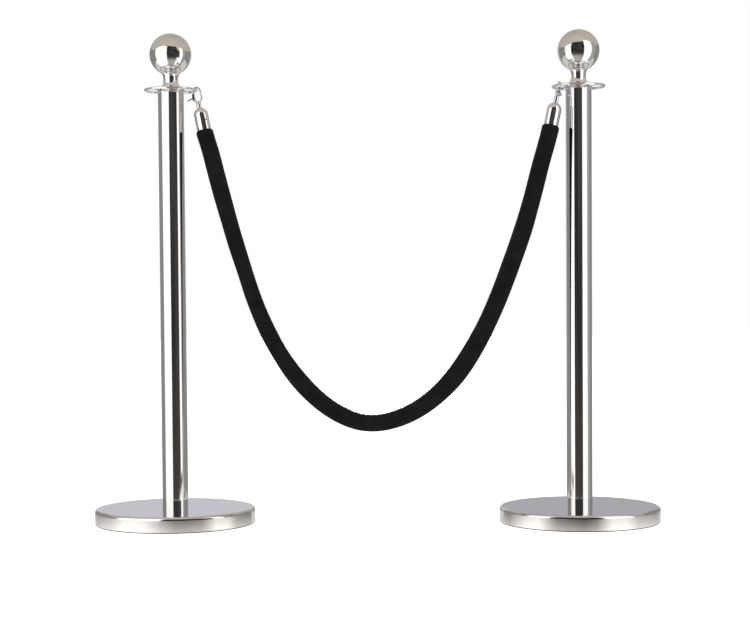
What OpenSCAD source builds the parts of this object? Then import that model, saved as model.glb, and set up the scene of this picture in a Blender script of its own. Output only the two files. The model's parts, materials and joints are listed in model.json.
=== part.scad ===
// Pair of ball-top rope stanchions joined by one hanging velvet rope.
// Origin: on the floor, midway between the two posts.
// +X runs from the left post to the right post, -Y faces the viewer, +Z is up.
// Everything is in millimetres.

/* [Posts] */
// Distance between the two post axes
post_spacing = 800; // [780:5:830]
// Outside diameter of the post tube
tube_d = 50.8; // [48:0.2:54]
// Wall of the post tube
tube_wall = 1.2; // [1:0.1:2]
// Height of the top end of the tube above the floor
tube_top_z = 851.5; // [840:0.5:860]

/* [Base] */
// Diameter of the round base
base_d = 316; // [300:4:348]
// Height of the base above the floor
base_h = 31; // [28:1:34]
// Radius of the rolled edge round the top of the base
base_edge_r = 6.5; // [2:0.5:8]
// Thickness of the spun base cover
cover_wall = 1.2; // [1:0.1:1.6]
// How far the rubber ring lifts the cover off the floor
floor_gap = 2; // [1:0.5:3]

/* [Crown] */
// Radius of the rope rail, at the middle of its bar
rail_r = 49.2; // [48:0.1:50]
// Width of the rail's bar
rail_w = 6.4; // [6:0.2:7]
// Thickness of the crown
crown_t = 4.8; // [4.4:0.2:5]
// Radius of the crown's middle boss
crown_hub_r = 27; // [26:0.5:29]
// Width of the four spokes
spoke_w = 8; // [6:0.5:9]

/* [Finial] */
// Diameter of the ball
ball_d = 82; // [70:1:86]
// Height of the middle of the ball above the floor
ball_z = 924; // [920:1:930]
// Radius of the neck at its narrowest
neck_waist_r = 14.3; // [13:0.1:15.5]
// Height of the narrowest part of the neck
neck_waist_z = 875; // [872:0.5:878]
// Radius of the hollow curve above the neck's narrowest part
neck_curve_r = 22; // [20:1:30]
// Radius of the hollow curve that flares out below it
neck_flare_r = 26; // [24:0.5:28]
// Radius of the foot of the neck
neck_foot_r = 21; // [20:0.5:22]

/* [Rope] */
// Outside diameter of the velvet rope
rope_d = 34; // [30:1:36]
// Diameter of the filler cord inside the velvet
rope_core_d = 26; // [25.8:0.2:27]
// Lean of each rope end from the vertical, in degrees
rope_lean = 11.5; // [10.5:0.1:12.5]
// Where the left hook hangs on its rail: degrees from the line of posts
left_hook_place = 0; // [-3:1:3]
// Where the right hook hangs on its rail: degrees from the line of posts
right_hook_place = 35; // [33:1:36]
// How far the left hook is turned on its swivel, in degrees
left_hook_turn = 0; // [-5:1:5]
// How far the right hook is turned on its swivel, in degrees
right_hook_turn = 67; // [60:1:68]

/* [Rope ends] */
// Outside diameter of the end cup
cup_d = 28; // [27.6:0.1:28.4]
// Length of the end cup
cup_l = 44; // [43:0.5:45]
// Radius of the wire that the snap hook is cast as
hook_wire_r = 1.8; // [1.7:0.1:1.9]
// Radius of the hook's loop, at the middle of its wire
hook_loop_r = 8.2; // [8.1:0.1:8.4]

/* [Hidden] */
LEFT = 0;
RIGHT = 1;
SIDES = [-1, 1];
$fn = 96;

// Threads and fits
bolt_r = 6;
bolt_clear = 0.5;
turn_fit = 0.06;
turn_gap = 0.1;
small_fit = 0.05;

// Base stack, from the floor up
ring_h = 4;
ring_inner_r = 124;
ring_margin = 3;
weight_z = 14;
weight_margin = 2;
skirt_inner_r = 122;
washer_h = 2.5;
washer_r = 20;
bolt_head_h = 7.5;
bolt_head_r = 11;
bolt_top_z = 58;

// Plugs welded into the tube ends
foot_plug_h = 30;
head_plug_h = 25;
tube_inner_r = tube_d/2 - tube_wall;

// Crown and finial stack
spoke_t = crown_t - 0.6;
crown_z = tube_top_z + turn_gap + crown_t/2;
washer_z = crown_z + crown_t/2 + turn_gap;
crown_washer_h = 0.8;
crown_washer_r = 18;
neck_z = washer_z + crown_washer_h;
ball_wall = 1.5;
ball_seat_gap = 0.05;
stud_foot_z = 830;
stud_top_z = 875;

// Rope end, measured up the leaning axis from the cup's mouth
cup_wall = 1.2;
cup_r = cup_d/2;
cup_inner_r = cup_r - cup_wall;
cup_straight = cup_l - cup_r;
plug_r = cup_inner_r - 0.2;
plug_l = cup_straight;
screw_z = 18;
screw_r = 2;
screw_inner = 3;
screw_proud = 0.3;
screw_socket_r = 1.1;
screw_socket_deep = 1.4;
// Turn of the fixing screw about the cup, left end then right end
SCREW_TURNS = [130, -13];
swivel_r = 2.5;
swivel_foot = 36.5;
collar_h = 1;
collar_r = 4.2;
nut_h = 4;
nut_r = 4.6;
nut_top = 41.7;

// Snap hook, measured up the same axis from the top of the cup
barrel_r = 5;
barrel_z = 1.3;
barrel_top = 12.5;
head_r = 3.8;
head_z = 7.3;
head_h = 3;
head_room_r = 4.1;
head_room_z = 7;
head_room_top = 10.8;
window_w = 5.2;
bow_z = 20;
bow_end = 325;
loop_z = 32.3;
nose_end = -15;
// Small bead of casting where the straight side meets each bend
wire_bead = 0.08;
// Height of the rail's centre above the centre of the loop when each hook hangs
RAIL_IN_LOOP = [3.3, 2.8];
lug_x = 7.2;
lug_z = 17.5;
lug_r = 2.6;
lug_half = 1;
pin_r = 1.1;
pin_half = 4.2;
pin_head_r = 1.7;
pin_head_h = 0.5;
cheek_in = 2.3;
cheek_out = 3.4;
cheek_r = 2.8;
cheek_half_w = 2.2;
cheek_h = 7.2;
cheek_slot_drop = 4;
cheek_slot = [14, 7.1];
lever_half = 2.6;
coil_wire_r = 0.28;
coil_gap = 0.05;
coil_r = 1.75;

// Points where the rope ends hang, and the upright plane through both of them
HOOK_PLACES = [left_hook_place, right_hook_place];
HOOK_TURNS = [left_hook_turn, right_hook_turn];
function post_x(i) = SIDES[i]*post_spacing/2;
function rail_point(i) = [
    post_x(i) - SIDES[i]*rail_r*cos(HOOK_PLACES[i]),
    -rail_r*sin(HOOK_PLACES[i]),
    crown_z
];
span = rail_point(RIGHT) - rail_point(LEFT);
plane_turn = atan2(span[1], span[0]);
function outward(i) = i == LEFT ? plane_turn + 180 : plane_turn;

// From the cup's mouth to the rail, along the leaning axis
function drop(i) = cup_l + loop_z + RAIL_IN_LOOP[i];
function mouth(i) = rail_point(i) - drop(i)*[
    sin(rope_lean)*cos(outward(i)),
    sin(rope_lean)*sin(outward(i)),
    cos(rope_lean)
];

// Route of the rope between the cups, as distance along X and height
ROUTE = [
    [-321, 726], [-302, 652], [-281, 575], [-259, 503], [-234, 428], [-200, 354],
    [-158, 290], [-107, 238], [-52, 205], [0, 197], [56, 211], [109, 243],
    [156, 290], [197, 352], [230, 418], [257, 485], [282, 554], [304, 625],
    [323, 698]
];
function in_plane(x, z) = [
    x,
    mouth(LEFT)[1] + (x - mouth(LEFT)[0])*tan(plane_turn),
    z
];
route = concat([mouth(LEFT)], [for (p = ROUTE) in_plane(p[0], p[1])], [mouth(RIGHT)]);
rope_sides = 12;

// ---- Placing -------------------------------------------------------------

module at_post(i) {
    translate([post_x(i), 0, 0]) children();
}

// Puts a rope-end piece on its leaning axis: local +X points at the post
module at_rope_end(i) {
    translate(mouth(i)) rotate([0, 0, outward(i)]) rotate([0, rope_lean, 0]) children();
}

// Puts a hook piece on top of the cup, turned on its swivel
module at_hook(i) {
    at_rope_end(i) translate([0, 0, cup_l]) rotate([0, 0, HOOK_TURNS[i]]) children();
}

module bored_disc(r, h, bore) {
    difference() {
        cylinder(r = r, h = h);
        translate([0, 0, -1]) cylinder(r = bore, h = h + 2);
    }
}

// ---- Base ----------------------------------------------------------------

// Half outline of a disc whose top edge is rounded
module rounded_disc(r, h, edge) {
    square([r - edge, h]);
    square([r, h - edge]);
    translate([r - edge, h - edge]) circle(r = edge);
}

module base_cover(i) {
    color("gainsboro") at_post(i) translate([0, 0, floor_gap]) rotate_extrude($fn = 180)
        difference() {
            rounded_disc(base_d/2, base_h - floor_gap, base_edge_r);
            translate([0, -1])
                rounded_disc(base_d/2 - cover_wall, base_h - floor_gap - cover_wall + 1,
                    base_edge_r - cover_wall);
            translate([0, -2]) square([bolt_r + bolt_clear, base_h + 4]);
        }
}

module base_weight(i) {
    bore = bolt_r + bolt_clear;
    rim = base_d/2 - weight_margin;
    top = base_h - cover_wall;
    color("dimgray") at_post(i) rotate_extrude($fn = 180)
        polygon([
            [bore, weight_z], [bore, top], [rim - base_edge_r, top], [rim, top - base_edge_r],
            [rim, ring_h], [skirt_inner_r, ring_h], [skirt_inner_r, weight_z]
        ]);
}

module floor_ring(i) {
    color("black") at_post(i) difference() {
        cylinder(r = base_d/2 - ring_margin, h = ring_h, $fn = 180);
        translate([0, 0, -1]) cylinder(r = ring_inner_r, h = ring_h + 2, $fn = 180);
    }
}

module base_bolt(i) {
    head_z0 = weight_z - washer_h - bolt_head_h;
    color("silver") at_post(i) {
        translate([0, 0, head_z0]) cylinder(r = bolt_head_r, h = bolt_head_h, $fn = 6);
        translate([0, 0, head_z0]) cylinder(r = bolt_r, h = bolt_top_z - head_z0);
    }
}

module base_washer(i) {
    color("silver") at_post(i) translate([0, 0, weight_z - washer_h])
        bored_disc(washer_r, washer_h, bolt_r + bolt_clear);
}

// ---- Post ----------------------------------------------------------------

module post_tube(i) {
    color("gainsboro") at_post(i) translate([0, 0, base_h])
        bored_disc(tube_d/2, tube_top_z - base_h, tube_inner_r);
}

module tube_foot_plug(i) {
    color("gray") at_post(i) translate([0, 0, base_h])
        bored_disc(tube_inner_r, foot_plug_h, bolt_r);
}

module tube_head_plug(i) {
    color("gray") at_post(i) translate([0, 0, tube_top_z - head_plug_h])
        bored_disc(tube_inner_r, head_plug_h, bolt_r + turn_fit);
}

// ---- Crown ---------------------------------------------------------------

// The rail's bar is flat above and below and round on both sides
module rail_section() {
    flat = rail_w - crown_t;
    square([flat, crown_t], center = true);
    translate([flat/2, 0]) circle(r = crown_t/2, $fn = 48);
    translate([-flat/2, 0]) circle(r = crown_t/2, $fn = 48);
}

module crown_ring(i) {
    color("gainsboro") at_post(i) translate([0, 0, crown_z]) difference() {
        union() {
            rotate_extrude($fn = 144) translate([rail_r, 0]) rail_section();
            cylinder(r = crown_hub_r, h = crown_t, center = true);
            for (a = [45:90:315])
                rotate([0, 0, a]) translate([crown_hub_r - 2, -spoke_w/2, -spoke_t/2])
                    cube([rail_r - crown_hub_r + 2, spoke_w, spoke_t]);
        }
        cylinder(r = bolt_r + turn_fit, h = crown_t + 2, center = true);
    }
}

// ---- Finial --------------------------------------------------------------

module crown_washer(i) {
    color("black") at_post(i) translate([0, 0, washer_z])
        bored_disc(crown_washer_r, crown_washer_h, bolt_r + turn_fit);
}

module finial_neck(i) {
    top = ball_z - ball_d/2 + ball_wall + 4;
    color("gainsboro") at_post(i) difference() {
        rotate_extrude() union() {
            difference() {
                translate([0, neck_z]) square([neck_foot_r, neck_waist_z - neck_z]);
                translate([neck_waist_r + neck_flare_r, neck_waist_z])
                    circle(r = neck_flare_r, $fn = 180);
            }
            difference() {
                translate([0, neck_waist_z]) square([neck_foot_r, top - neck_waist_z]);
                translate([neck_waist_r + neck_curve_r, neck_waist_z])
                    circle(r = neck_curve_r, $fn = 180);
            }
        }
        translate([0, 0, ball_z]) sphere(r = ball_d/2 + ball_seat_gap, $fn = 144);
        translate([0, 0, neck_z - 1]) cylinder(r = bolt_r, h = stud_top_z + 1.5 - neck_z);
    }
}

module finial_ball(i) {
    color("gainsboro") at_post(i) translate([0, 0, ball_z]) difference() {
        sphere(r = ball_d/2, $fn = 144);
        sphere(r = ball_d/2 - ball_wall, $fn = 144);
    }
}

module finial_stud(i) {
    color("silver") at_post(i) translate([0, 0, stud_foot_z])
        cylinder(r = bolt_r, h = stud_top_z - stud_foot_z);
}

// ---- Rope ends -----------------------------------------------------------

// Solid of a cup's outline: a straight wall that closes in a dome
module cup_form(r, below) {
    translate([0, 0, -below]) cylinder(r = r, h = cup_straight + below);
    translate([0, 0, cup_straight]) sphere(r = r);
}

module screw_hole(i) {
    rotate([0, 0, SCREW_TURNS[i]]) translate([0, 0, screw_z]) rotate([0, 90, 0])
        cylinder(r = screw_r, h = cup_r + 2);
}

module rope_cup(i) {
    color("gainsboro") at_rope_end(i) difference() {
        cup_form(cup_r, 0);
        cup_form(cup_inner_r, 1);
        cylinder(r = swivel_r, h = cup_l + 1);
        screw_hole(i);
    }
}

module rope_plug(i) {
    color("black") at_rope_end(i) difference() {
        cylinder(r = plug_r, h = plug_l);
        screw_hole(i);
    }
}

module cup_screw(i) {
    color("silver") at_rope_end(i) rotate([0, 0, SCREW_TURNS[i]])
        translate([screw_inner, 0, screw_z]) rotate([0, 90, 0]) difference() {
            cylinder(r = screw_r, h = cup_r + screw_proud - screw_inner);
            translate([0, 0, cup_r + screw_proud - screw_inner - screw_socket_deep])
                cylinder(r = screw_socket_r, h = screw_socket_deep + 1, $fn = 6);
        }
}

module swivel_stud(i) {
    color("silver") at_rope_end(i) {
        translate([0, 0, swivel_foot])
            cylinder(r = swivel_r, h = cup_l + head_z + head_h - swivel_foot);
        translate([0, 0, cup_l]) cylinder(r = collar_r, h = collar_h);
        translate([0, 0, cup_l + head_z]) cylinder(r = head_r, h = head_h);
    }
}

module stud_nut(i) {
    color("silver") at_rope_end(i) translate([0, 0, nut_top - nut_h]) difference() {
        cylinder(r = nut_r, h = nut_h, $fn = 6);
        translate([0, 0, -1]) cylinder(r = swivel_r, h = nut_h + 2);
    }
}

// ---- Snap hook -----------------------------------------------------------

// A bend of the hook's wire in the XZ plane, from angle a0 through sweep degrees
module wire_bend(z, a0, sweep) {
    translate([0, 0, z]) rotate([90, 0, 0]) rotate([0, 0, a0])
        rotate_extrude(angle = sweep) translate([hook_loop_r, 0])
            circle(r = hook_wire_r, $fn = 36);
}

module cross_pin(r, half) {
    translate([lug_x, half, lug_z]) rotate([90, 0, 0]) cylinder(r = r, h = 2*half, $fn = 36);
}

module hook_body(i) {
    color("silver") at_hook(i) difference() {
        union() {
            translate([0, 0, barrel_z]) cylinder(r = barrel_r, h = barrel_top - barrel_z);
            wire_bend(bow_z, 180, bow_end - 180);
            translate([-hook_loop_r, 0, bow_z]) cylinder(r = hook_wire_r, h = loop_z - bow_z, $fn = 36);
            for (z = [bow_z, loop_z])
                translate([-hook_loop_r, 0, z]) sphere(r = hook_wire_r + wire_bead, $fn = 36);
            wire_bend(loop_z, nose_end, 180 - nose_end);
            cross_pin(lug_r, lug_half);
        }
        cylinder(r = swivel_r + small_fit, h = head_room_z + 1);
        translate([0, 0, head_room_z]) cylinder(r = head_room_r, h = head_room_top - head_room_z);
        translate([-window_w/2, -barrel_r - 1, head_room_z + 0.5])
            cube([window_w, 2*barrel_r + 2, head_room_top - head_room_z - 1]);
        cross_pin(pin_r, lug_half + 1);
    }
}

module gate_pin(i) {
    color("gray") at_hook(i) {
        cross_pin(pin_r, pin_half);
        for (s = [-1, 1])
            translate([0, s*(pin_half - pin_head_h/2), 0]) cross_pin(pin_head_r, pin_head_h/2);
    }
}

module gate_spring(i) {
    color("gray") at_hook(i) for (s = [-1, 1], k = [0, 1])
        translate([lug_x, s*(lug_half + (2*k + 1)*(coil_wire_r + coil_gap)), lug_z])
            rotate([90, 0, 0]) rotate_extrude() translate([coil_r, 0])
                circle(r = coil_wire_r, $fn = 24);
}

// Outline of the gate's bar, its tongue behind the nose, and its thumb lever
module gate_bar() {
    polygon([
        [5.2, 20.8], [9.2, 20.8], [9.2, 29.0], [5.3, 29.0], [5.3, 31.4],
        [4.0, 31.4], [4.0, 27.0], [5.2, 25.5]
    ]);
}

module gate_lever() {
    polygon([
        [8.6, 23.2], [11.6, 20.9], [19.6, 18.9], [20.4, 18.2], [20.2, 17.4],
        [19.2, 17.3], [11.4, 19.2], [8.6, 20.9]
    ]);
}

module slab(half) {
    translate([0, half, 0]) rotate([90, 0, 0]) linear_extrude(height = 2*half) children();
}

module hook_gate(i) {
    color("silver") at_hook(i) difference() {
        union() {
            slab(hook_wire_r) gate_bar();
            slab(lever_half) gate_lever();
            difference() {
                slab(cheek_out) union() {
                    translate([lug_x, lug_z]) circle(r = cheek_r);
                    translate([lug_x - cheek_half_w, lug_z]) square([2*cheek_half_w, cheek_h]);
                }
                slab(cheek_in) translate([0, lug_z - cheek_slot_drop]) square(cheek_slot);
            }
        }
        cross_pin(pin_r + small_fit, cheek_out + 1);
    }
}

// ---- Rope ----------------------------------------------------------------

// One point between b and c on the smooth curve through a, b, c and d
function smooth_point(a, b, c, d, t) =
    0.5*(2*b + (c - a)*t + (2*a - 5*b + 4*c - d)*t*t + (3*b - a - 3*c + d)*t*t*t);

// The route's points with one more halfway along each stretch
function smooth_route(p) = [
    for (k = [0:len(p) - 2], t = [0, 0.5])
        t == 0 ? p[k] : smooth_point(p[max(k - 1, 0)], p[k], p[k + 1], p[min(k + 2, len(p) - 1)], t),
    p[len(p) - 1]
];

function unit(v) = v/norm(v);

// The rope leaves each cup along the cup's own axis
function end_direction(i) = (i == LEFT ? -1 : 1)*[
    sin(rope_lean)*cos(outward(i)),
    sin(rope_lean)*sin(outward(i)),
    cos(rope_lean)
];

function direction(p, k) =
    k == 0 ? end_direction(LEFT) :
    k == len(p) - 1 ? end_direction(RIGHT) :
    unit(p[k + 1] - p[k - 1]);

// Ring of points round the route at point k, in the plane across it
function ring(p, k, r) = let (
    across = [-sin(plane_turn), cos(plane_turn), 0],
    up = cross(direction(p, k), across)
) [for (s = [0:rope_sides - 1])
    p[k] + r*(cos(360*s/rope_sides)*across + sin(360*s/rope_sides)*up)];

// Tube swept along the route, solid or with a hollow of radius inner
module swept_rope(r, inner) {
    p = smooth_route(route);
    n = len(p);
    m = rope_sides;
    outside = [for (k = [0:n - 1]) each ring(p, k, r)];
    inside = [for (k = [0:n - 1]) each ring(p, k, inner)];
    walls = [for (k = [0:n - 2], s = [0:m - 1])
        [k*m + s, k*m + (s + 1)%m, (k + 1)*m + (s + 1)%m, (k + 1)*m + s]];
    caps = inner == 0
        ? [[for (s = [m - 1:-1:0]) s], [for (s = [0:m - 1]) (n - 1)*m + s]]
        : concat(
            [for (s = [0:m - 1]) [(s + 1)%m, s, n*m + s, n*m + (s + 1)%m]],
            [for (s = [0:m - 1]) let (q = (n - 1)*m)
                [q + s, q + (s + 1)%m, n*m + q + (s + 1)%m, n*m + q + s]]
        );
    lining = [for (f = walls) [n*m + f[3], n*m + f[2], n*m + f[1], n*m + f[0]]];
    polyhedron(
        points = inner == 0 ? outside : concat(outside, inside),
        faces = inner == 0 ? concat(walls, caps) : concat(walls, caps, lining),
        convexity = 8
    );
}

module rope_cover() {
    color("black") swept_rope(rope_d/2, rope_core_d/2);
}

module rope_core() {
    color("dimgray") swept_rope(rope_core_d/2 - small_fit, 0);
}

base_cover(LEFT);  // left_base_cover
base_weight(LEFT);  // left_base_weight
floor_ring(LEFT);  // left_floor_ring
base_bolt(LEFT);  // left_base_bolt
base_washer(LEFT);  // left_base_washer
post_tube(LEFT);  // left_post_tube
tube_foot_plug(LEFT);  // left_tube_foot_plug
tube_head_plug(LEFT);  // left_tube_head_plug
crown_ring(LEFT);  // left_crown_ring
crown_washer(LEFT);  // left_crown_washer
finial_neck(LEFT);  // left_finial_neck
finial_ball(LEFT);  // left_finial_ball
finial_stud(LEFT);  // left_finial_stud
rope_cup(LEFT);  // left_rope_cup
rope_plug(LEFT);  // left_rope_plug
cup_screw(LEFT);  // left_cup_screw
swivel_stud(LEFT);  // left_swivel_stud
stud_nut(LEFT);  // left_stud_nut
hook_body(LEFT);  // left_hook_body
gate_pin(LEFT);  // left_gate_pin
gate_spring(LEFT);  // left_gate_spring
hook_gate(LEFT);  // left_hook_gate
base_cover(RIGHT);  // right_base_cover
base_weight(RIGHT);  // right_base_weight
floor_ring(RIGHT);  // right_floor_ring
base_bolt(RIGHT);  // right_base_bolt
base_washer(RIGHT);  // right_base_washer
post_tube(RIGHT);  // right_post_tube
tube_foot_plug(RIGHT);  // right_tube_foot_plug
tube_head_plug(RIGHT);  // right_tube_head_plug
crown_ring(RIGHT);  // right_crown_ring
crown_washer(RIGHT);  // right_crown_washer
finial_neck(RIGHT);  // right_finial_neck
finial_ball(RIGHT);  // right_finial_ball
finial_stud(RIGHT);  // right_finial_stud
rope_cup(RIGHT);  // right_rope_cup
rope_plug(RIGHT);  // right_rope_plug
cup_screw(RIGHT);  // right_cup_screw
swivel_stud(RIGHT);  // right_swivel_stud
stud_nut(RIGHT);  // right_stud_nut
hook_body(RIGHT);  // right_hook_body
gate_pin(RIGHT);  // right_gate_pin
gate_spring(RIGHT);  // right_gate_spring
hook_gate(RIGHT);  // right_hook_gate
rope_cover();
rope_core();
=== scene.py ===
"""Looks for the pair of ball-top rope stanchions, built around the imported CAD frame."""
import json
from math import acos, atan2, cos, pi, radians, sin, sqrt, tan

import bmesh
import bpy
from mathutils import Matrix, Vector, noise


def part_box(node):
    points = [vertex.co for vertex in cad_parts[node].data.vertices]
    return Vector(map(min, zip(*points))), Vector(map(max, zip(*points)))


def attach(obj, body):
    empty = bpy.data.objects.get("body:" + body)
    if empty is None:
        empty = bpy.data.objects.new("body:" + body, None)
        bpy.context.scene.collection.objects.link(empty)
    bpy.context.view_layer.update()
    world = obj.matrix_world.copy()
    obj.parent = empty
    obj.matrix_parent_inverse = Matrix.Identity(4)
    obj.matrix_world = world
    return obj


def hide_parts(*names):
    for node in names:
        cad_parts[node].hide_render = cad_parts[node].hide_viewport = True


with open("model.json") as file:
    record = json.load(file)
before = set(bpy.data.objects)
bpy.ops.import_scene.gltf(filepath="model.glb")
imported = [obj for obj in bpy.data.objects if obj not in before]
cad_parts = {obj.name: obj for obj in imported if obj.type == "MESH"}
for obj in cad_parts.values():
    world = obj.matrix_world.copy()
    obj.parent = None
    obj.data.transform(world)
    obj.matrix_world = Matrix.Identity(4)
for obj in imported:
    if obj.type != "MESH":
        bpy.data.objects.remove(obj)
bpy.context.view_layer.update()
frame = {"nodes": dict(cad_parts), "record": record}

NODES = frame["nodes"]
SIDES = ("left", "right")
MM = 0.001

# ---- Camera ------------------------------------------------------------------

CAMERA_AT = (0.0702, -3.2950, 0.4514)
CAMERA_YAW = 0.0219
CAMERA_PITCH = -0.0353
CAMERA_ROLL = -0.0072
CAMERA_LENS = 80.24
CAMERA_SHIFT = 0.0517


def make_camera():
    """A long lens, level with the middle of the posts."""
    ahead = Vector((
        -sin(CAMERA_YAW) * cos(CAMERA_PITCH),
        cos(CAMERA_YAW) * cos(CAMERA_PITCH),
        sin(CAMERA_PITCH),
    ))
    right = Vector((cos(CAMERA_YAW), sin(CAMERA_YAW), 0))
    up = right.cross(ahead)
    right, up = (
        cos(CAMERA_ROLL) * right + sin(CAMERA_ROLL) * up,
        cos(CAMERA_ROLL) * up - sin(CAMERA_ROLL) * right,
    )
    data = bpy.data.cameras.new("camera")
    data.lens = CAMERA_LENS
    data.shift_y = CAMERA_SHIFT
    data.clip_start = 0.05
    data.clip_end = 60
    cam = bpy.data.objects.new("camera", data)
    turn = Matrix((right, up, -ahead)).transposed()
    cam.matrix_world = Matrix.Translation(CAMERA_AT) @ turn.to_4x4()
    bpy.context.scene.collection.objects.link(cam)
    bpy.context.scene.camera = cam


make_camera()

# ---- Mesh helpers ------------------------------------------------------------


def add_mesh(name, verts, faces, smooth_angle=40):
    """A mesh object with smooth faces and sharp edges beyond smooth_angle."""
    mesh = bpy.data.meshes.new(name)
    mesh.from_pydata(verts, [], faces)
    mesh.polygons.foreach_set("use_smooth", [True] * len(mesh.polygons))
    mesh.set_sharp_from_angle(angle=radians(smooth_angle))
    mesh.update()
    obj = bpy.data.objects.new(name, mesh)
    bpy.context.scene.collection.objects.link(obj)
    return obj


def smoothstep(x, low, high):
    """Rises smoothly from 0 at low to 1 at high, which may be the smaller of the two."""
    t = min(1, max(0, (x - low) / (high - low)))
    return t * t * (3 - 2 * t)


# ---- Rope --------------------------------------------------------------------

ROPE_END_R = 12.7 * MM
MOUTH_TO_SWIVEL = 44 * MM
SWIVELS = [
    joint for side in SIDES for joint in frame["record"]["behaviour"]["joints"]
    if joint["name"] == f"{side}_hook_swivel"
]
MICROMETRE_PLACES = 6
# Each end of the rope: its axis, which points up into the cup, and the middle of the cup's
# mouth on that axis, to the micrometre that the record gives places to
END_AXES = [Vector(joint["axis"]) for joint in SWIVELS]
MOUTHS = [
    Vector([
        round(place - MOUTH_TO_SWIVEL * along, MICROMETRE_PLACES)
        for place, along in zip(joint["pos_m"], joint["axis"])
    ])
    for joint in SWIVELS
]
SPAN = MOUTHS[1] - MOUTHS[0]
PLANE_TURN = atan2(SPAN.y, SPAN.x)
# Points of the rope between the cups, along X and Z, as in the CAD model
ROUTE = [
    (-321, 726), (-302, 652), (-281, 575), (-259, 503), (-234, 428), (-200, 354),
    (-158, 290), (-107, 238), (-52, 205), (0, 197), (56, 211), (109, 243),
    (156, 290), (197, 352), (230, 418), (257, 485), (282, 554), (304, 625),
    (323, 698),
]
# Points worked out on the curve for each stretch between two of the route's points
STEPS = 28
RING_SPACING = 2.4 * MM
ROPE_SEGMENTS = 56
# How many rings before and after a point its bend is measured over
BEND_REACH = 5


def rope_centreline():
    """The route's points joined by one smooth curve that leaves each cup along its axis."""
    start = MOUTHS[0]
    pts = [start]
    for x, z in ROUTE:
        x *= MM
        pts.append(Vector((x, start.y + (x - start.x) * tan(PLANE_TURN), z * MM)))
    pts.append(MOUTHS[1])
    before = pts[1] + 2 * (pts[1] - pts[0]).length * END_AXES[0]
    after = pts[-2] + 2 * (pts[-2] - pts[-1]).length * END_AXES[1]
    p = [before] + pts + [after]
    line = []
    for k in range(1, len(p) - 2):
        a, b, c, d = p[k - 1:k + 3]
        for j in range(STEPS):
            t = j / STEPS
            line.append(0.5 * (
                2 * b + (c - a) * t + (2 * a - 5 * b + 4 * c - d) * t ** 2
                + (3 * b - a - 3 * c + d) * t ** 3
            ))
    line.append(pts[-1])
    return line


def even_line(line, spacing):
    """The same line with points at even spacing."""
    lengths = [0]
    for a, b in zip(line, line[1:]):
        lengths.append(lengths[-1] + (b - a).length)
    count = round(lengths[-1] / spacing)
    out = []
    k = 0
    for i in range(count + 1):
        s = lengths[-1] * i / count
        while k < len(line) - 2 and lengths[k + 1] < s:
            k += 1
        t = (s - lengths[k]) / (lengths[k + 1] - lengths[k])
        out.append(line[k].lerp(line[k + 1], t))
    return out


# Radius of the rope in millimetres, against the distance from the left cup in metres:
# the filler is packed unevenly, and bulges where the rope turns up again
PACKING = [
    (0.00, 16.7), (0.10, 17.0), (0.20, 16.1), (0.32, 15.3), (0.44, 16.2), (0.55, 17.3),
    (0.72, 16.5), (0.80, 17.2), (0.93, 19.0), (1.03, 17.8), (1.19, 18.0), (1.28, 17.1),
    (1.45, 16.7),
]
SHOULDER = 6 * MM
SWELLING = 0.45 * MM
# Cross folds: their spacing, the bend in radians per metre that gathers them fully, their
# height, and how much a stray ridge or the valley between two folds takes off it
PLEAT = 9.5 * MM
FULL_BEND = 5.5
PLEAT_HEIGHT = 0.45 * MM
RIDGE_CUT = 0.8 * MM
VALLEY_CUT = 1.15 * MM
GATHER_REACH = 34 * MM
GATHER_DEPTH = 0.5 * MM
SEAM_ANGLE = radians(68)
SEAM_HALF_WIDTH = 0.12
SEAM_DEPTH = 0.7 * MM


def packed_radius(s):
    """Radius that the filler gives the rope at distance s."""
    for (a, r_a), (b, r_b) in zip(PACKING, PACKING[1:]):
        if s <= b:
            return (r_a + (r_b - r_a) * smoothstep(s, a, b)) * MM
    return PACKING[-1][1] * MM


def rope_radius(s, length, angle, bend):
    """Radius of the velvet at distance s and at an angle round it.

    Angle 0 is the back, a quarter turn is the inside of the bend."""
    end = min(s, length - s)
    r = packed_radius(s)
    if end < SHOULDER:
        round_off = sqrt(max(0, 1 - (1 - end / SHOULDER) ** 2))
        r = ROPE_END_R + (r - ROPE_END_R) * round_off
    free = smoothstep(end, 0, 3 * SHOULDER)
    around = Vector((cos(angle), sin(angle), 0))
    # Slow swelling of the filler under the cover
    r += free * SWELLING * noise.noise(around * 0.9 + Vector((0, 0, s * 16)))
    # Short cross folds, which gather on the inside of the bend
    inside = smoothstep(sin(angle), 0.1, 0.95) * min(1, bend / FULL_BEND)
    ridge = noise.noise(Vector((cos(angle) * 0.55, s * 60, 7.3)))
    pleat = abs(sin(pi * (s / PLEAT + 0.9 * ridge)))
    fold = PLEAT_HEIGHT - RIDGE_CUT * abs(ridge) - VALLEY_CUT * (1 - pleat) ** 2
    r += free * inside * fold
    # Gathers where the cover is drawn into the cup
    near_end = smoothstep(end, GATHER_REACH, SHOULDER / 2) * smoothstep(end, 0, SHOULDER / 2)
    r += near_end * GATHER_DEPTH * noise.noise(
        Vector((cos(angle) * 2.6, sin(angle) * 2.6, s * 30))
    )
    # Sewn seam of the cover, behind and below
    gap = abs((angle + SEAM_ANGLE + pi) % (2 * pi) - pi)
    r -= free * SEAM_DEPTH * smoothstep(gap, SEAM_HALF_WIDTH, 0.0)
    return r


def bend_at(line, k):
    """Bend of the line at point k, in radians per metre, and 0 close to its ends."""
    if k <= BEND_REACH or k >= len(line) - 1 - BEND_REACH:
        return 0
    before, here, after = line[k - BEND_REACH], line[k], line[k + BEND_REACH]
    turn = acos(max(-1, min(1, (here - before).normalized().dot((after - here).normalized()))))
    return turn / ((after - before).length / 2)


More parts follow.
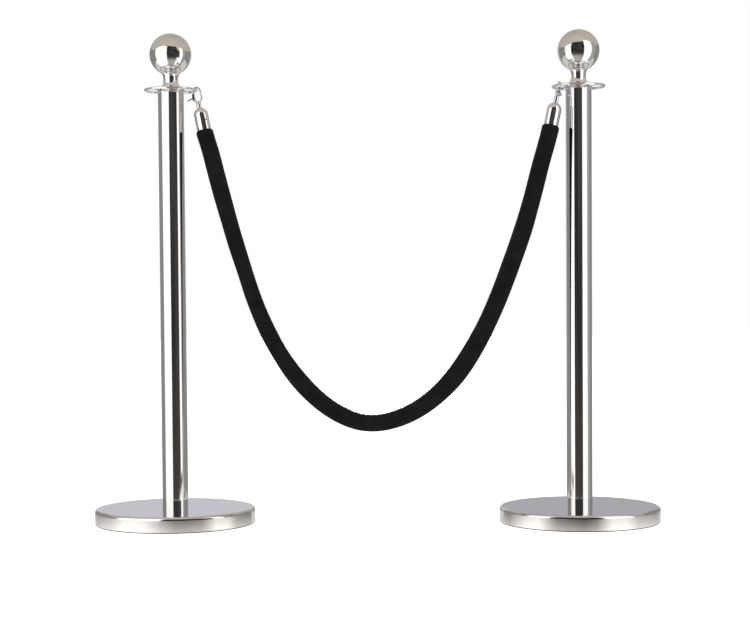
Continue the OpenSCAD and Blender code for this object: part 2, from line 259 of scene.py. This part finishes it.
def make_rope():
    """The velvet sleeve: rings along the even line, shaped by rope_radius."""
    line = even_line(rope_centreline(), RING_SPACING)
    length = sum((b - a).length for a, b in zip(line, line[1:]))
    across = Vector((-sin(PLANE_TURN), cos(PLANE_TURN), 0))
    n = len(line)
    m = ROPE_SEGMENTS
    verts = []
    s = 0
    for k, p in enumerate(line):
        if k:
            s += (p - line[k - 1]).length
        ahead = (line[min(k + 1, n - 1)] - line[max(k - 1, 0)]).normalized()
        if k == 0:
            ahead = -END_AXES[0]
        if k == n - 1:
            ahead = END_AXES[1]
        up = ahead.cross(across).normalized()
        bend = bend_at(line, k)
        for j in range(m):
            angle = 2 * pi * j / m
            r = rope_radius(s, length, angle, bend)
            verts.append(p + r * (cos(angle) * across + sin(angle) * up))
    faces = [
        (k * m + j, k * m + (j + 1) % m, (k + 1) * m + (j + 1) % m, (k + 1) * m + j)
        for k in range(n - 1) for j in range(m)
    ]
    faces.append(tuple(range(m - 1, -1, -1)))
    faces.append(tuple((n - 1) * m + j for j in range(m)))
    rope = add_mesh("velvet_rope", verts, faces, 60)
    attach(rope, "rope")
    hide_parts("rope_cover", "rope_core")
    return rope


rope = make_rope()

# ---- Materials ---------------------------------------------------------------


class Surface:
    """A material under construction: a principled shader and the nodes that feed it."""

    def __init__(self, name, colour, metallic, roughness):
        self.mat = bpy.data.materials.new(name)
        self.mat.use_nodes = True
        self.tree = self.mat.node_tree
        self.shader = self.tree.nodes["Principled BSDF"]
        self.set("Base Color", (*colour, 1))
        self.set("Metallic", metallic)
        self.set("Roughness", roughness)
        self.mat.diffuse_color = (*colour, 1)
        self.place = self.node("ShaderNodeTexCoord").outputs["Object"]
        self.height = None

    def set(self, socket, value):
        self.shader.inputs[socket].default_value = value

    def node(self, kind, **props):
        node = self.tree.nodes.new(kind)
        for key, value in props.items():
            setattr(node, key, value)
        return node

    def link(self, a, b):
        self.tree.links.new(a, b)

    def stretched(self, scale, offset=(0, 0, 0)):
        """The object's own coordinates, moved by offset and stretched by scale."""
        mapping = self.node("ShaderNodeMapping")
        mapping.inputs["Location"].default_value = offset
        mapping.inputs["Scale"].default_value = scale
        self.link(self.place, mapping.inputs["Vector"])
        return mapping.outputs["Vector"]

    def noise(self, scale, detail=4, vector=None, rough=0.6):
        tex = self.node("ShaderNodeTexNoise")
        tex.inputs["Scale"].default_value = scale
        tex.inputs["Detail"].default_value = detail
        tex.inputs["Roughness"].default_value = rough
        self.link(vector or self.place, tex.inputs["Vector"])
        return tex.outputs["Fac"]

    def ramp(self, factor, stops):
        ramp = self.node("ShaderNodeValToRGB")
        elements = ramp.color_ramp.elements
        while len(elements) < len(stops):
            elements.new(0.5)
        for element, (at, colour) in zip(elements, stops):
            element.position = at
            element.color = (*colour, 1) if isinstance(colour, tuple) else (colour,) * 3 + (1,)
        self.link(factor, ramp.inputs["Fac"])
        return ramp.outputs["Color"]

    def drive(self, socket, factor, low, high, ends=(0.0, 1.0)):
        """Feeds a socket with factor, mapped from ends to low..high."""
        span = self.node("ShaderNodeMapRange")
        span.inputs["From Min"].default_value, span.inputs["From Max"].default_value = ends
        span.inputs["To Min"].default_value = low
        span.inputs["To Max"].default_value = high
        self.link(factor, span.inputs["Value"])
        self.link(span.outputs["Result"], self.shader.inputs[socket])

    def bump(self, factor, strength, distance):
        """Adds one more layer of bump over those already there."""
        bump = self.node("ShaderNodeBump")
        bump.inputs["Strength"].default_value = strength
        bump.inputs["Distance"].default_value = distance
        self.link(factor, bump.inputs["Height"])
        if self.height is not None:
            self.link(self.height, bump.inputs["Normal"])
        self.height = bump.outputs["Normal"]
        self.link(self.height, self.shader.inputs["Normal"])


def axis_of(node):
    """The X of a round upright node's axis."""
    low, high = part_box(node)
    return (low.x + high.x) / 2


STEEL = (0.80, 0.79, 0.78)
CHROME = (0.84, 0.84, 0.84)


def steel_tube(side):
    """Polished tube: long fine lines left by the belt, and a few specks."""
    s = Surface(f"polished_tube_{side}", STEEL, 1.0, 0.045)
    lines = s.noise(1.0, 5, s.stretched((900, 900, 3)))
    specks = s.noise(420, 2)
    s.drive("Roughness", lines, 0.03, 0.085, (0.35, 0.7))
    s.link(s.ramp(specks, [(0.30, (0.70, 0.69, 0.67)), (0.42, STEEL), (1.0, STEEL)]),
           s.shader.inputs["Base Color"])
    s.bump(lines, 0.02, 0.0002)
    s.bump(s.noise(26, 2), 0.02, 0.002)
    return s.mat


def steel_base(side):
    """Spun cover: fine rings round the post, from polishing on a lathe."""
    s = Surface(f"spun_cover_{side}", STEEL, 1.0, 0.10)
    centred = s.stretched((1, 1, 1), (-axis_of(f"{side}_post_tube"), 0, 0))
    flat = s.node("ShaderNodeVectorMath", operation="MULTIPLY")
    flat.inputs[1].default_value = (1, 1, 0)
    s.link(centred, flat.inputs[0])
    radius = s.node("ShaderNodeVectorMath", operation="LENGTH")
    s.link(flat.outputs["Vector"], radius.inputs[0])
    ring = s.node("ShaderNodeCombineXYZ")
    s.link(radius.outputs["Value"], ring.inputs["X"])
    rings = s.noise(1400, 2, ring.outputs["Vector"])
    cloud = s.noise(9, 3)
    s.drive("Roughness", cloud, 0.09, 0.15, (0.3, 0.7))
    s.link(s.ramp(cloud, [(0.3, (0.76, 0.755, 0.76)), (0.7, STEEL)]),
           s.shader.inputs["Base Color"])
    s.bump(rings, 0.03, 0.0002)
    return s.mat


def steel_ball(side):
    """Ball of two spun halves, polished by hand: faint waviness and light scuffs."""
    s = Surface(f"polished_ball_{side}", STEEL, 1.0, 0.05)
    scuffs = s.noise(60, 6, s.stretched((1, 1, 2.5)))
    s.drive("Roughness", scuffs, 0.035, 0.10, (0.4, 0.75))
    s.link(s.ramp(scuffs, [(0.35, STEEL), (0.75, (0.74, 0.73, 0.71))]), s.shader.inputs["Base Color"])
    s.bump(s.noise(22, 1), 0.05, 0.003)
    return s.mat


def chrome_plate():
    """Plated castings: mirror bright, over a surface that was polished unevenly."""
    s = Surface("chrome_plate", CHROME, 1.0, 0.05)
    waves = s.noise(55, 2)
    pits = s.noise(700, 3)
    s.drive("Roughness", waves, 0.03, 0.09, (0.3, 0.7))
    s.link(s.ramp(pits, [(0.27, (0.62, 0.61, 0.60)), (0.36, CHROME)]), s.shader.inputs["Base Color"])
    s.bump(waves, 0.10, 0.002)
    s.bump(pits, 0.04, 0.0002)
    return s.mat


def zinc_steel():
    """Zinc-plated fasteners: dull, faintly yellow in places."""
    s = Surface("zinc_steel", (0.55, 0.56, 0.58), 1.0, 0.34)
    cloud = s.noise(120, 4)
    s.link(s.ramp(cloud, [(0.35, (0.50, 0.51, 0.54)), (0.6, (0.60, 0.60, 0.58)),
                          (0.8, (0.64, 0.61, 0.52))]), s.shader.inputs["Base Color"])
    s.drive("Roughness", cloud, 0.26, 0.46, (0.3, 0.7))
    s.bump(s.noise(900, 2), 0.10, 0.0002)
    return s.mat


def cast_iron():
    """Sand-cast weight under black paint."""
    s = Surface("cast_iron", (0.05, 0.05, 0.052), 0.0, 0.62)
    grain = s.noise(380, 6)
    s.link(s.ramp(grain, [(0.35, (0.035, 0.034, 0.034)), (0.7, (0.085, 0.082, 0.08))]),
           s.shader.inputs["Base Color"])
    s.drive("Roughness", grain, 0.5, 0.8, (0.3, 0.7))
    s.bump(grain, 0.5, 0.0008)
    return s.mat


def black_rubber():
    """Moulded rubber of the ring under each base."""
    s = Surface("black_rubber", (0.022, 0.022, 0.023), 0.0, 0.8)
    grain = s.noise(1300, 3)
    s.link(s.ramp(grain, [(0.3, 0.016), (0.7, 0.034)]), s.shader.inputs["Base Color"])
    s.drive("Roughness", grain, 0.7, 0.92, (0.3, 0.7))
    s.bump(grain, 0.3, 0.0003)
    return s.mat


def nylon():
    """Moulded nylon of the washer under each neck; its near-black colour is painted shade for the gap
    under the neck.
    """
    s = Surface("black_nylon", (0.03, 0.03, 0.031), 0.0, 0.45)
    grain = s.noise(800, 3)
    s.link(s.ramp(grain, [(0.3, 0.024), (0.7, 0.045)]), s.shader.inputs["Base Color"])
    s.drive("Roughness", grain, 0.38, 0.55, (0.3, 0.7))
    s.bump(grain, 0.08, 0.0002)
    return s.mat


def filler_cord():
    """Bundled cotton filler, inside the cups."""
    s = Surface("filler_cord", (0.05, 0.05, 0.05), 0.0, 0.95)
    fibre = s.noise(1.0, 4, s.stretched((1500, 1500, 120)))
    s.link(s.ramp(fibre, [(0.3, 0.03), (0.7, 0.08)]), s.shader.inputs["Base Color"])
    s.drive("Roughness", fibre, 0.9, 1.0, (0.3, 0.7))
    s.bump(fibre, 0.5, 0.0006)
    return s.mat


def black_velvet():
    """Cotton velvet: a short dense nap with brushed patches and a soft sheen."""
    s = Surface("black_velvet", (0.006, 0.006, 0.0065), 0.0, 0.95)
    nap = s.noise(2600, 2)
    brushed = s.noise(34, 4)
    tufts = s.noise(700, 4)
    mixed = s.node("ShaderNodeMath", operation="MULTIPLY")
    s.link(brushed, mixed.inputs[0])
    s.link(tufts, mixed.inputs[1])
    s.link(s.ramp(mixed.outputs["Value"], [
        (0.12, (0.0032, 0.0032, 0.0038)), (0.26, (0.0058, 0.0058, 0.0064)),
        (0.42, (0.0110, 0.0110, 0.0120)),
    ]), s.shader.inputs["Base Color"])
    s.set("Specular IOR Level", 0.08)
    s.set("Sheen Weight", 0.02)
    s.set("Sheen Roughness", 0.5)
    s.set("Sheen Tint", (0.8, 0.8, 0.85, 1))
    s.drive("Roughness", brushed, 0.88, 1.0, (0.3, 0.7))
    s.bump(tufts, 0.35, 0.0008)
    s.bump(nap, 0.4, 0.0004)
    return s.mat


SHARED = {
    "chrome_plate": chrome_plate(),
    "zinc_steel": zinc_steel(),
    "cast_iron": cast_iron(),
    "black_rubber": black_rubber(),
    "black_nylon": nylon(),
    "filler_cord": filler_cord(),
    "black_velvet": black_velvet(),
}
OWN = {
    f"{side}_{part}": make(side) for side in SIDES for part, make in (
        ("post_tube", steel_tube), ("base_cover", steel_base), ("finial_ball", steel_ball),
    )
}
for part in frame["record"]["subparts"]:
    name = part["node"]
    mat = OWN.get(name) or SHARED[part["material_slot"]]
    for place in NODES[name].material_slots:
        place.material = mat
rope.data.materials.append(SHARED["black_velvet"])

# ---- Studio ------------------------------------------------------------------

STUDIO_R = 3.4
STUDIO_Z = 0.45
WALL_DARK = (0.020, 0.019, 0.019)
# Tone of the lighter blotches in the dark front of the dome: painted reflection, scattered through
# the dark towards the camera
DARK_FRONT_BLOTCH = (0.060, 0.058, 0.057)
WALL_LOW = (0.062, 0.056, 0.050)
BOX_WHITE = (1.35, 1.35, 1.34)
SIDE_GREY = (0.29, 0.285, 0.28)
LOW_GREY = (0.72, 0.71, 0.70)
BACK_LEFT = (0.61, 0.61, 0.655)
BACK_RIGHT = (0.44, 0.44, 0.475)
CEILING = (0.64, 0.58, 0.52)
FLOOR_BEIGE = (0.50, 0.46, 0.42)
# Each panel seen from above: its end near the camera, its far end, and its brightness
PANELS = {
    "soft_box_left": ((-0.60, -0.95), (-2.40, -0.30), 1.35),
    "soft_box_right": ((0.71, -0.64), (1.48, -0.35), 1.35),
    "return_right": ((1.50, -0.35), (2.20, 0.30), 0.42),
}
PANEL_HEIGHTS = (-0.60, 1.70)
# Degrees round the dome, from 0 towards the camera to 180 behind the object
DARK_ENDS = 50
GREY_BEGINS = 66
BACK_BEGINS = 146
BACK_FULL = 153
# Degrees up from the middle of the dome, between which one tone fades into the next
GLOOM = (0, -12)
FRONT_FLOOR = (-12, -38)
SIDE_FLOOR = (-13.4, -14.5)
UNDERSIDE = (-58, -66)
CEILING_EDGE = (-1, 2)
CEILING_AT_SIDES = 22
CEILING_RISE_IN_FRONT = 23


def link_object(obj):
    """Puts an object into the scene, and returns it."""
    bpy.context.scene.collection.objects.link(obj)
    return obj


def reflection_only(obj):
    """Seen in reflections, but not by the camera, and it lights nothing."""
    obj.visible_camera = False
    obj.visible_diffuse = False
    obj.visible_transmission = False
    obj.visible_shadow = False


class Glow:
    """A material that only gives out light, and the nodes that colour it."""

    def __init__(self, name, colour):
        self.mat = bpy.data.materials.new(name)
        self.mat.use_nodes = True
        self.mat.cycles.emission_sampling = "NONE"
        self.tree = self.mat.node_tree
        self.tree.nodes.clear()
        out = self.node("ShaderNodeOutputMaterial")
        self.light = self.node("ShaderNodeEmission")
        self.light.inputs["Color"].default_value = (*colour, 1)
        self.link(self.light.outputs["Emission"], out.inputs["Surface"])

    def node(self, kind):
        return self.tree.nodes.new(kind)

    def link(self, a, b):
        self.tree.links.new(a, b)

    def math(self, kind, *values):
        node = self.node("ShaderNodeMath")
        node.operation = kind
        for socket, value in zip(node.inputs, values):
            if isinstance(value, (int, float)):
                socket.default_value = value
            else:
                self.link(value, socket)
        return node.outputs["Value"]

    def ramp(self, factor, stops):
        """Colours along a factor that runs from 0 to 1 over a half turn."""
        node = self.node("ShaderNodeValToRGB")
        elements = node.color_ramp.elements
        while len(elements) < len(stops):
            elements.new(0.5)
        for element, (degrees, colour) in zip(elements, stops):
            element.position = degrees / 180
            element.color = (*colour, 1)
        self.link(factor, node.inputs["Fac"])
        return node.outputs["Color"]

    def plain(self, colour):
        node = self.node("ShaderNodeRGB")
        node.outputs["Color"].default_value = (*colour, 1)
        return node.outputs["Color"]

    def noise(self, vector, scale):
        node = self.node("ShaderNodeTexNoise")
        node.inputs["Scale"].default_value = scale
        node.inputs["Detail"].default_value = 0
        self.link(vector, node.inputs["Vector"])
        return node.outputs["Fac"]

    def blend(self, factor, a, b):
        node = self.node("ShaderNodeMix")
        node.data_type = "RGBA"
        for socket, value in ((0, factor), (6, a), (7, b)):
            self.link(value, node.inputs[socket])
        return node.outputs[2]

    def fade(self, value, low, high):
        node = self.node("ShaderNodeMapRange")
        node.interpolation_type = "SMOOTHSTEP"
        node.inputs["From Min"].default_value = low
        node.inputs["From Max"].default_value = high
        self.link(value, node.inputs["Value"])
        return node.outputs["Result"]


def make_studio_dome():
    """The room that the metal reflects: dark towards the camera, grey behind, beige above."""
    mesh = bpy.data.meshes.new("studio_dome")
    bm = bmesh.new()
    bmesh.ops.create_uvsphere(bm, u_segments=96, v_segments=48, radius=STUDIO_R)
    bm.to_mesh(mesh)
    bm.free()
    dome = link_object(bpy.data.objects.new("studio_dome", mesh))
    dome.location = (0, 0, STUDIO_Z)
    g = Glow("studio_dome", BOX_WHITE)
    place = g.node("ShaderNodeTexCoord")
    xyz = g.node("ShaderNodeSeparateXYZ")
    g.link(place.outputs["Object"], xyz.inputs["Vector"])
    x, y, z = xyz.outputs
    bearing = g.math("ARCTAN2", x, g.math("MULTIPLY", y, -1))
    around = g.math("DIVIDE", g.math("ABSOLUTE", bearing), pi)
    height = g.math("MULTIPLY", g.math("ARCSINE", g.math("DIVIDE", z, STUDIO_R)), 180 / pi)
    level, dark_front_blotch, gloom = [
        g.ramp(around, [
            (0, front), (DARK_ENDS, front), (GREY_BEGINS, SIDE_GREY), (180, SIDE_GREY),
        ])
        for front in (WALL_DARK, DARK_FRONT_BLOTCH, WALL_LOW)
    ]
    # Painted reflection: lighter blotches scattered by noise through the dark front of the dome
    level = g.blend(g.fade(g.noise(place.outputs["Object"], 0.9), 0.25, 0.75), level, dark_front_blotch)
    back = g.blend(g.fade(x, -0.4, 0.4), g.plain(BACK_LEFT), g.plain(BACK_RIGHT))
    level = g.blend(g.fade(around, BACK_BEGINS / 180, BACK_FULL / 180), level, back)
    low = g.ramp(around, [
        (0, FLOOR_BEIGE), (33, FLOOR_BEIGE), (40, BOX_WHITE), (88, BOX_WHITE),
        (97, LOW_GREY), (180, LOW_GREY),
    ])
    top = g.ramp(around, [(0, CEILING), (180, tuple(0.8 * c for c in CEILING))])
    under = g.ramp(around, [(0, FLOOR_BEIGE), (180, SIDE_GREY)])
    front_fade = g.fade(height, *FRONT_FLOOR)
    beside = g.fade(around, 38 / 180, 44 / 180)
    side_fade = g.math("MULTIPLY", g.fade(height, *SIDE_FLOOR), beside)
    colour = g.blend(g.fade(height, *GLOOM), level, gloom)
    colour = g.blend(g.math("MAXIMUM", front_fade, side_fade), colour, low)
    colour = g.blend(g.fade(height, *UNDERSIDE), colour, under)
    # The ceiling starts higher in front, where the room is deep, than at the sides
    in_front = g.fade(around, 48 / 180, 34 / 180)
    rise = g.math("MULTIPLY", in_front, CEILING_RISE_IN_FRONT)
    above = g.math("SUBTRACT", height, g.math("ADD", rise, CEILING_AT_SIDES))
    colour = g.blend(g.fade(above, *CEILING_EDGE), colour, top)
    g.link(colour, g.light.inputs["Color"])
    mesh.materials.append(g.mat)
    reflection_only(dome)


def make_panels():
    """Tall panels on both sides of the camera, which make the white stripes in the metal."""
    for name, (near, far, strength) in PANELS.items():
        verts = [(x, y, z) for x, y in (near, far) for z in PANEL_HEIGHTS]
        panel = add_mesh(name, verts, [(0, 1, 3, 2)])
        g = Glow(name, (1.0, 1.0, 0.995))
        g.light.inputs["Strength"].default_value = strength
        panel.data.materials.append(g.mat)
        reflection_only(panel)


# Brightness of the floor round each base, against the angle in degrees that its rim sees it
# at, set so that the rims show the same bright and dark stretches as in the photograph
RIM_TONES = {
    "left": [
        (-140, 0.60), (-104, 0.85), (-79, 1.30), (-48, 1.30), (-20, 0.68), (-3, 0.44),
        (15, 0.40), (38, 0.50), (60, 1.20), (80, 1.10), (96, 0.55), (140, 0.37),
    ],
    "right": [
        (-140, 0.50), (-118, 0.43), (-80, 1.15), (-60, 1.30), (-45, 0.76), (-33, 0.43),
        (7, 0.25), (24, 0.40), (47, 1.20), (68, 1.25), (90, 0.77), (140, 0.55),
    ],
}
# How much brighter the painted reflection of the floor is close to a base than farther out, against
# the distance
FLOOR_FALL = [(3 * MM, 0.28), (170 * MM, -0.16), (270 * MM, -0.18)]
DARKEST_FLOOR = 0.05
CARD_HEIGHT = 0.4 * MM
CARD_STEP = 2


def tone_at(stops, angle):
    """The tone at an angle, on the straight lines between the stops."""
    for (a, tone_a), (b, tone_b) in zip(stops, stops[1:]):
        if a <= angle <= b:
            return tone_a + (tone_b - tone_a) * (angle - a) / (b - a)


def make_floor_cards():
    """The floor round each base, as its rim reflects it: glowing cards whose tones are painted
    reflections of bright and dark stretches of floor.
    """
    for side in SIDES:
        low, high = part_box(f"{side}_base_cover")
        x = (low.x + high.x) / 2
        r = (high.x - low.x) / 2
        facing = atan2(CAMERA_AT[0] - x, -CAMERA_AT[1])
        stops = RIM_TONES[side]
        verts = []
        tones = []
        for angle in range(stops[0][0], stops[-1][0] + 1, CARD_STEP):
            rim = facing + radians(angle / 2)
            ray = facing + radians(angle)
            for reach, lift in FLOOR_FALL:
                verts.append((
                    x + r * sin(rim) + reach * sin(ray),
                    -r * cos(rim) - reach * cos(ray),
                    CARD_HEIGHT,
                ))
                tones.append(max(DARKEST_FLOOR, tone_at(stops, angle) + lift))
        n = len(FLOOR_FALL)
        faces = [
            (k + j, k + j + 1, k + j + n + 1, k + j + n)
            for k in range(0, len(verts) - n, n) for j in range(n - 1)
        ]
        card = add_mesh(f"floor_card_{side}", verts, faces)
        shade = card.data.attributes.new("tone", "FLOAT", "POINT")
        shade.data.foreach_set("value", tones)
        g = Glow(f"floor_card_{side}", (1.0, 0.965, 0.93))
        tone = g.node("ShaderNodeAttribute")
        tone.attribute_name = "tone"
        g.link(tone.outputs["Fac"], g.light.inputs["Strength"])
        card.data.materials.append(g.mat)
        reflection_only(card)


FLOOR_HALF = 14


def make_floor():
    """A plain pale floor, which the metal does not reflect."""
    corners = [(-1, -1), (1, -1), (1, 1), (-1, 1)]
    verts = [(FLOOR_HALF * x, FLOOR_HALF * y, 0) for x, y in corners]
    floor = add_mesh("floor", verts, [(0, 1, 2, 3)])
    mat = bpy.data.materials.new("floor")
    mat.use_nodes = True
    shader = mat.node_tree.nodes["Principled BSDF"]
    shader.inputs["Base Color"].default_value = (0.92, 0.92, 0.92, 1)
    shader.inputs["Roughness"].default_value = 1
    shader.inputs["Specular IOR Level"].default_value = 0
    shader.inputs["Emission Color"].default_value = (1, 1, 1, 1)
    shader.inputs["Emission Strength"].default_value = 0.45
    floor.data.materials.append(mat)
    floor.visible_glossy = False


# Each lamp: its place, its width and its power
LAMPS = {
    "key_left": ((-2.4, -2.0, 1.5), 1.6, 26),
    "key_right": ((2.4, -2.2, 1.4), 1.6, 22),
    "top": ((0, -0.3, 3.0), 2.0, 16),
}
LAMP_TARGET = Vector((0, 0, 0.5))


def make_lights():
    """A white world and three soft lamps, none of which shows in the metal."""
    world = bpy.data.worlds.new("studio")
    world.use_nodes = True
    background = world.node_tree.nodes["Background"]
    background.inputs["Color"].default_value = (1, 1, 1, 1)
    background.inputs["Strength"].default_value = 1.0
    bpy.context.scene.world = world
    for name, (at, size, power) in LAMPS.items():
        data = bpy.data.lights.new(name, "AREA")
        data.size = size
        data.energy = power
        light = link_object(bpy.data.objects.new(name, data))
        light.location = at
        aim = LAMP_TARGET - Vector(at)
        light.rotation_euler = aim.to_track_quat("-Z", "Y").to_euler()
        light.visible_glossy = False


make_studio_dome()
make_panels()
make_floor_cards()
make_floor()
make_lights()
bpy.context.scene.view_settings.view_transform = "Standard"
